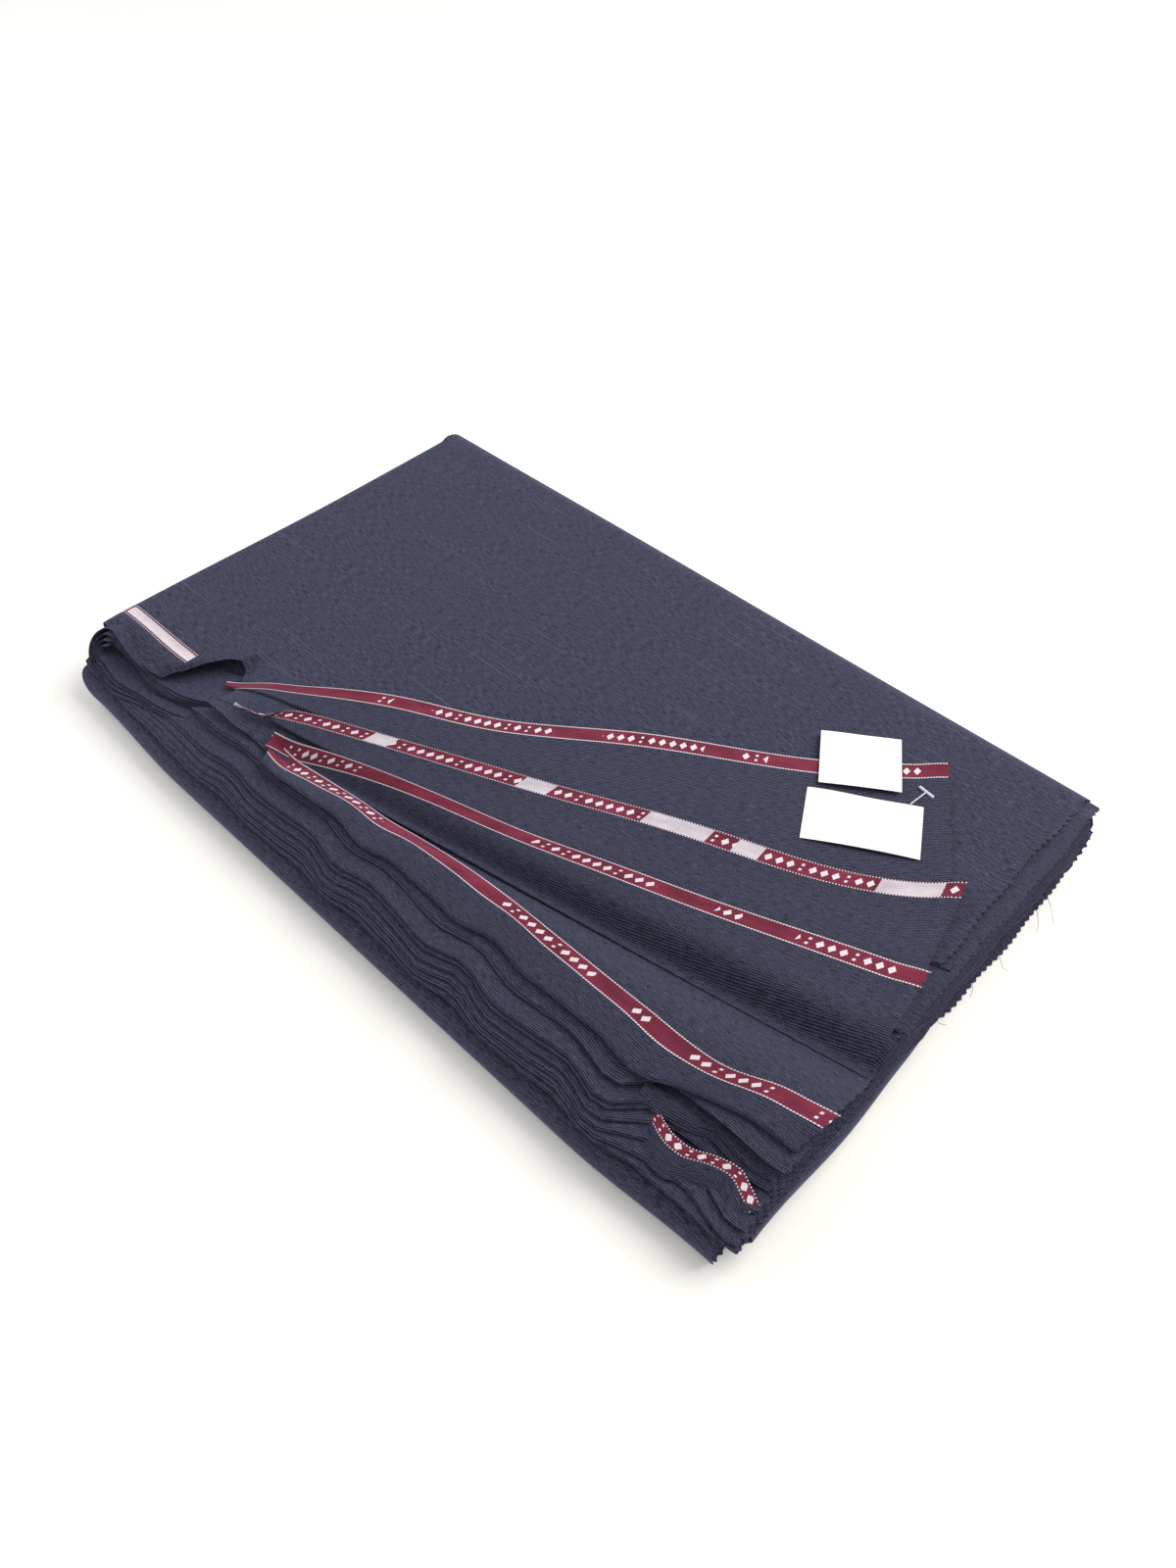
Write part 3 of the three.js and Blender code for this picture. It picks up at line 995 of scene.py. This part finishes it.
def label(name, node, size, angle, bow, body, clear):
    """A paper label over its CAD node, bowed across its length and sagging along its upper edge."""
    low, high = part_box(node)
    centre = (np.array(low) + np.array(high))[:2] / 2 / MM
    w, h = size
    gx, gy = np.meshgrid(np.linspace(-w / 2, w / 2, 33), np.linspace(-h / 2, h / 2, 21))
    c, s = math.cos(math.radians(angle)), math.sin(math.radians(angle))
    x, y = centre[0] + gx * c - gy * s, centre[1] + gx * s + gy * c
    z = surface_height(x, y).max() + clear + bow * (1 - (2 * gx / w) ** 2)
    upper = smooth(gy, -h / 4, h / 2)
    z = z - 1.1 * bow * upper * (0.5 + 0.5 * np.cos(2 * math.pi * (gx / w - 0.08)))
    points, flat = np.stack([x, y, z], -1), np.stack([gx + w, gy + h], -1)
    piece = sheet_object(name, points, flat, PAPER, PAPER_THICKNESS)
    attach(piece, body)
    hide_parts(node)
    print(name, "at height", round(float(z.mean()), 1))


label("length_tag", "length_label", (46, 40), 34, 0.4, "corner_1", 2.9)
label("price_tag", "price_label", (64, 37), 30, 1.2, "price_label", 0.9)

# %% [markdown]
# ## Tag fastener
# The fastener is one small polypropylene moulding: a bar, and a filament that runs through the
# label. The bar starts as a cube with its edges rounded, and the filament as a cylinder, thin in
# the middle. They are joined, because they are moulded as one.


# %% Fastener
def polypropylene():
    """Milky polypropylene: half clear, with a soft gloss from a polished mould."""
    material, tree = new_material("milky_polypropylene")
    place = add(tree, "TexCoord").outputs["Object"]
    cloud = add(tree, "TexNoise", Vector=place, Scale=400.0, Detail=2.0)
    colour = add(tree, "Mix", cloud, linear("#c6c2da"), linear("#dedbe8"), data_type="RGBA")
    shader = add(tree, "BsdfPrincipled", Base_Color=colour, Roughness=0.35,
                 Subsurface_Weight=0.15, Subsurface_Radius=(MM, MM, MM))
    add(tree, "OutputMaterial", Surface=shader)
    return material


BAR = (10.5, 1.7, 1.5)  # length, width, height of the bar
BAR_TURN = math.radians(-8)
ROUNDING = 0.6
low, high = (np.array(end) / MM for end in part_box("tag_fastener"))
bar_z = float(surface_height(np.array(low[0]), np.array(high[1]))) + 2.0
bar_centre = np.array([(low[0] + high[0]) / 2 - 0.3, high[1] - 1.3, bar_z])
deselect_all()
bpy.ops.mesh.primitive_cube_add(size=1, location=tuple(bar_centre * MM),
                                rotation=(0, 0, BAR_TURN))
bar = bpy.context.object
bar.name = "fastener_bar"
bar.scale = tuple(side * MM for side in BAR)
bpy.ops.object.transform_apply(location=False, rotation=False, scale=True)
bpy.ops.object.mode_set(mode="EDIT")
bpy.ops.mesh.select_all(action="SELECT")
bpy.ops.mesh.bevel(offset=ROUNDING * MM, segments=4, affect="EDGES")
bpy.ops.object.mode_set(mode="OBJECT")
print("bar at", bar_centre.round(1))

# %% Filament
FILAMENT, FILAMENT_DROP, FILAMENT_RADIUS = 13.0, 0.8, 0.5
way = np.array([math.sin(BAR_TURN), -math.cos(BAR_TURN), 0])
stem_line = FILAMENT * way - np.array([0, 0, FILAMENT_DROP])
middle = bar_centre + stem_line / 2
lean = Vector(stem_line).to_track_quat("Z", "Y").to_euler()
bpy.ops.mesh.primitive_cylinder_add(
    vertices=12, radius=FILAMENT_RADIUS * MM, depth=float(np.linalg.norm(stem_line)) * MM,
    location=tuple(middle * MM), rotation=lean)
stem = bpy.context.object
bpy.ops.object.mode_set(mode="EDIT")
bpy.ops.mesh.select_all(action="SELECT")
bpy.ops.mesh.bisect(plane_co=tuple(middle * MM), plane_no=tuple(Vector(stem_line).normalized()))
bpy.ops.transform.resize(value=(0.8, 0.8, 1.0))
bpy.ops.mesh.select_all(action="DESELECT")
bpy.ops.object.mode_set(mode="OBJECT")
deselect_all()
stem.select_set(True)
bar.select_set(True)
bpy.context.view_layer.objects.active = bar
bpy.ops.object.join()
fastener = bpy.context.object
fastener.name = "plastic_fastener"
bpy.ops.object.transform_apply(location=True, rotation=True, scale=True)
bpy.ops.object.shade_smooth_by_angle(angle=math.radians(40))
fastener.data.materials.clear()
fastener.data.materials.append(polypropylene())
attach(fastener, "corner_1")
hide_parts("tag_fastener")
print("fastener", len(fastener.data.vertices), "points")

# %% [markdown]
# ## Floor and light
# A pale floor and large soft lamps, as in a bright shop. The floor isn't part of the object.

# %% Floor and light
floor_material, tree = new_material("matt_white_floor")
grain = add(tree, "TexNoise", Scale=30.0, Detail=3.0)
colour = add(tree, "Mix", grain, linear("#f3f1ec"), linear("#f8f6f2"), data_type="RGBA")
shader = add(tree, "BsdfPrincipled", Base_Color=colour, Roughness=0.6, Emission_Color=colour,
             Emission_Strength=0.12)
add(tree, "OutputMaterial", Surface=shader)
deselect_all()
bpy.ops.mesh.primitive_plane_add(size=8, location=(0, 0, -0.0004))
floor = bpy.context.object
floor.name = "floor"
floor.data.materials.append(floor_material)


def soft_lamp(name, place, target, size, watts, colour):
    """A square area lamp aimed at a point."""
    deselect_all()
    bpy.ops.object.light_add(type="AREA", location=place)
    lamp = bpy.context.object
    lamp.name = name
    lamp.data.size = size
    lamp.data.energy = watts
    lamp.data.color = linear(colour)[:3]
    aim = Vector(target) - Vector(place)
    lamp.rotation_euler = aim.to_track_quat("-Z", "Y").to_euler()


soft_lamp("ceiling_lamp", (0.9, 1.5, 1.9), (0, 0, 0), 1.9, 62, "#fffdf8")
soft_lamp("window_lamp", (-1.7, -0.5, 1.3), (0, 0, 0), 1.4, 10, "#f6f9ff")
world = bpy.data.worlds.new("soft_studio")
world.use_nodes = True
background = world.node_tree.nodes["Background"]
background.inputs["Color"].default_value = linear("#ffffff")
background.inputs["Strength"].default_value = 0.55
bpy.context.scene.world = world
bpy.context.scene.view_settings.view_transform = "Standard"
